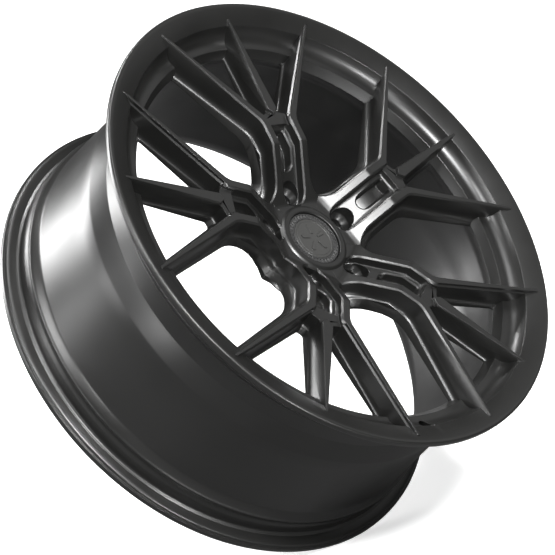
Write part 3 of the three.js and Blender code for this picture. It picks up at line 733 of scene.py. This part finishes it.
def material(name, colour, rough, metallic=0.0, bump=0.05, grain=900.0, edge=0.0):
    """Uneven colour and gloss, fine grain, and edges softened over the length `edge`."""
    made = bpy.data.materials.new(name)
    made.use_nodes = True
    nodes, links = made.node_tree.nodes, made.node_tree.links
    shader = nodes["Principled BSDF"]
    shader.inputs["Metallic"].default_value = metallic
    place = nodes.new("ShaderNodeTexCoord")
    cloud = nodes.new("ShaderNodeTexNoise")
    cloud.inputs["Scale"].default_value = 14.0
    cloud.inputs["Detail"].default_value = 4.0
    links.new(place.outputs["Object"], cloud.inputs["Vector"])
    tint = nodes.new("ShaderNodeMapRange")
    tint.inputs["To Min"].default_value = 0.80
    tint.inputs["To Max"].default_value = 1.20
    links.new(cloud.outputs["Fac"], tint.inputs["Value"])
    shade = nodes.new("ShaderNodeVectorMath")
    shade.operation = "SCALE"
    shade.inputs[0].default_value = colour
    links.new(tint.outputs["Result"], shade.inputs["Scale"])
    links.new(shade.outputs["Vector"], shader.inputs["Base Color"])
    grains = nodes.new("ShaderNodeTexNoise")
    grains.inputs["Scale"].default_value = grain
    grains.inputs["Detail"].default_value = 3.0
    links.new(place.outputs["Object"], grains.inputs["Vector"])
    both = nodes.new("ShaderNodeMath")
    both.operation = "MULTIPLY_ADD"
    both.inputs[1].default_value = 0.35
    links.new(grains.outputs["Fac"], both.inputs[0])
    links.new(cloud.outputs["Fac"], both.inputs[2])
    roughness = nodes.new("ShaderNodeMapRange")
    roughness.inputs["From Min"].default_value = 0.3
    roughness.inputs["From Max"].default_value = 1.0
    roughness.inputs["To Min"].default_value = rough - ROUGH_SPREAD
    roughness.inputs["To Max"].default_value = rough + ROUGH_SPREAD
    links.new(both.outputs["Value"], roughness.inputs["Value"])
    links.new(roughness.outputs["Result"], shader.inputs["Roughness"])
    relief = nodes.new("ShaderNodeBump")
    relief.inputs["Strength"].default_value = bump
    relief.inputs["Distance"].default_value = 0.0003
    links.new(grains.outputs["Fac"], relief.inputs["Height"])
    if edge:
        soft = nodes.new("ShaderNodeBevel")
        soft.samples = 4
        soft.inputs["Radius"].default_value = edge
        links.new(soft.outputs["Normal"], relief.inputs["Normal"])
    links.new(relief.outputs["Normal"], shader.inputs["Normal"])
    return made


satin = material("satin_black_forging", (0.006, 0.006, 0.0057), 0.33, bump=0.030, edge=0.0009)
plastic = material("cap_plastic", (0.020, 0.020, 0.020), 0.42, bump=0.15, grain=1400.0, edge=0.0004)
plate = material("cap_plate", (0.024, 0.024, 0.023), 0.38, bump=0.12, grain=1200.0, edge=0.0003)
steel = material("spring_steel", (0.56, 0.57, 0.58), 0.24, metallic=1.0)


def dress(piece, look, body):
    piece.data.materials.clear()
    piece.data.materials.append(look)
    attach(piece, body)


for piece in (rim, hub, *groups):
    dress(piece, satin, "forged_wheel")
dress(cap_body, plastic, "centre_cap")
dress(cap_face, plate, "centre_cap")
dress(emblem, plate, "centre_cap")
dress(spring, steel, "centre_cap")

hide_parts("rim_front_flange", "rim_drop_centre", "rim_rear_barrel", "rim_rear_flange")
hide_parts("hub_core")
GROUP_NODES = ("arm_left", "arm_right", "centre_spoke", "channel_web", "lug_boss")
for index, piece in enumerate(groups):
    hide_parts(*[f"{name}_{index + 1}" for name in GROUP_NODES])
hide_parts("centre_cap_body")
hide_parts("centre_cap_face")
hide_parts("cap_spring_ring")

# ---- camera at the photograph's viewing angle ----
CAMERA_AT = Vector((-1.5615, -1.4884, -0.7063))
RIGHT = Vector((0.7145, -0.5349, -0.4510)).normalized()
FORWARD = Vector((0.6874, 0.6569, 0.3099)).normalized()
UP = RIGHT.cross(FORWARD).normalized()
camera_data = bpy.data.cameras.new("camera")
camera_data.lens = 137.75
camera_data.sensor_width = 36.0
camera = bpy.data.objects.new("camera", camera_data)
camera.matrix_world = Matrix((
    (RIGHT.x, UP.x, -FORWARD.x, CAMERA_AT.x),
    (RIGHT.y, UP.y, -FORWARD.y, CAMERA_AT.y),
    (RIGHT.z, UP.z, -FORWARD.z, CAMERA_AT.z),
    (0, 0, 0, 1)))
bpy.context.scene.collection.objects.link(camera)
bpy.context.scene.camera = camera

# ---- floor that the leaning wheel stands on ----
FLOOR_LEAN = math.radians(20)         # how far the camera looks down on it
FLOOR_GAP = 0.0005
FLOOR_HALF = 6.0
floor_up = (UP * math.cos(FLOOR_LEAN) - FORWARD * math.sin(FLOOR_LEAN)).normalized()
lip_points = [Vector((math.cos(a), level, math.sin(a))) * R
              for level in (-CREST, CREST) for a in (math.radians(k) for k in range(360))]
floor_level = min(floor_up.dot(p) for p in lip_points) - FLOOR_GAP
across = floor_up.cross(FORWARD).normalized()
ahead = across.cross(floor_up).normalized()
floor_mesh = bmesh.new()
for u, v in ((-1, -1), (1, -1), (1, 1), (-1, 1)):
    floor_mesh.verts.new(across * (u * FLOOR_HALF) + ahead * (v * FLOOR_HALF) + floor_up * floor_level)
floor_mesh.faces.new(floor_mesh.verts)
floor_data = bpy.data.meshes.new("floor")
floor_mesh.to_mesh(floor_data)
floor_mesh.free()
if floor_data.polygons[0].normal.dot(floor_up) < 0:
    floor_data.flip_normals()
floor = bpy.data.objects.new("floor", floor_data)
bpy.context.scene.collection.objects.link(floor)

# White to the camera, dim to every other ray, and clear from below.
floor_look = bpy.data.materials.new("floor_white")
floor_look.use_nodes = True
nodes, links = floor_look.node_tree.nodes, floor_look.node_tree.links
nodes.clear()
out = nodes.new("ShaderNodeOutputMaterial")
diffuse = nodes.new("ShaderNodeBsdfDiffuse")
diffuse.inputs["Color"].default_value = (0.86, 0.86, 0.86, 1)
glow = nodes.new("ShaderNodeEmission")
glow.inputs["Color"].default_value = (1, 1, 1, 1)
glow.inputs["Strength"].default_value = 0.50
add = nodes.new("ShaderNodeAddShader")
dim = nodes.new("ShaderNodeBsdfDiffuse")
dim.inputs["Color"].default_value = (0.12, 0.12, 0.12, 1)
clear = nodes.new("ShaderNodeBsdfTransparent")
side = nodes.new("ShaderNodeNewGeometry")
ray = nodes.new("ShaderNodeLightPath")
seen = nodes.new("ShaderNodeMixShader")
choose = nodes.new("ShaderNodeMixShader")
links.new(diffuse.outputs[0], add.inputs[0])
links.new(glow.outputs[0], add.inputs[1])
links.new(ray.outputs["Is Camera Ray"], seen.inputs["Fac"])
links.new(dim.outputs[0], seen.inputs[1])
links.new(add.outputs[0], seen.inputs[2])
links.new(side.outputs["Backfacing"], choose.inputs["Fac"])
links.new(seen.outputs[0], choose.inputs[1])
links.new(clear.outputs[0], choose.inputs[2])
links.new(choose.outputs[0], out.inputs["Surface"])
floor.data.materials.append(floor_look)

# ---- light: name, direction from the wheel, distance, width, height, watts ----
LIGHTS = [
    ("key_front", (-0.318, -0.949, -0.016), 2.6, 0.42, 0.42, 120),
    ("left_back", (-0.290, 0.625, 0.724), 2.6, 0.7, 1.5, 30),
    ("left_low", (-0.975, 0.092, -0.198), 2.6, 0.5, 1.4, 28),
    ("overhead", floor_up, 3.0, 1.3, 1.3, 40),
    ("front_fill", (0.688, -0.656, 0.311), 3.0, 1.8, 1.8, 6),
    ("rear_fill", (0.10, 0.98, 0.15), 3.0, 1.2, 1.2, 90),
    ("edge_upper_left", (-0.656, -0.688, 0.311), 2.8, 0.35, 0.35, 44),
    ("edge_below", (-0.275, -0.706, -0.652), 2.8, 0.35, 0.35, 54),
    ("edge_top", (0.035, -0.267, 0.964), 2.8, 0.35, 0.35, 50),
    ("edge_left", (-0.90, -0.10, 0.42), 2.8, 0.25, 1.4, 56),
    ("edge_low", (-0.60, -0.30, -0.74), 2.8, 1.2, 0.30, 80),
    ("back_high", (-0.30, 0.62, 0.72), 3.0, 0.5, 2.4, 60),
    ("right_fill", (-0.74, 0.60, 0.24), 3.0, 1.5, 1.5, 70),
]
for name, direction, distance, width, height, watts in LIGHTS:
    light = bpy.data.lights.new(name, "AREA")
    light.shape = "RECTANGLE"
    light.size, light.size_y = width, height
    light.energy = watts
    lamp = bpy.data.objects.new(name, light)
    away = Vector(direction).normalized()
    lamp.location = away * distance
    lamp.rotation_euler = away.to_track_quat("Z", "Y").to_euler()
    bpy.context.scene.collection.objects.link(lamp)

# A white backdrop to the camera, and a faint even light to every other ray.
world = bpy.data.worlds.new("studio")
bpy.context.scene.world = world
world.use_nodes = True
nodes, links = world.node_tree.nodes, world.node_tree.links
soft = nodes["Background"]
soft.inputs["Color"].default_value = (1, 1, 1, 1)
soft.inputs["Strength"].default_value = 0.035
backdrop = nodes.new("ShaderNodeBackground")
backdrop.inputs["Color"].default_value = (1, 1, 1, 1)
backdrop.inputs["Strength"].default_value = 1.0
ray = nodes.new("ShaderNodeLightPath")
choose = nodes.new("ShaderNodeMixShader")
links.new(ray.outputs["Is Camera Ray"], choose.inputs["Fac"])
links.new(soft.outputs[0], choose.inputs[1])
links.new(backdrop.outputs[0], choose.inputs[2])
links.new(choose.outputs[0], nodes["World Output"].inputs["Surface"])

view = bpy.context.scene.view_settings
view.view_transform = "Standard"
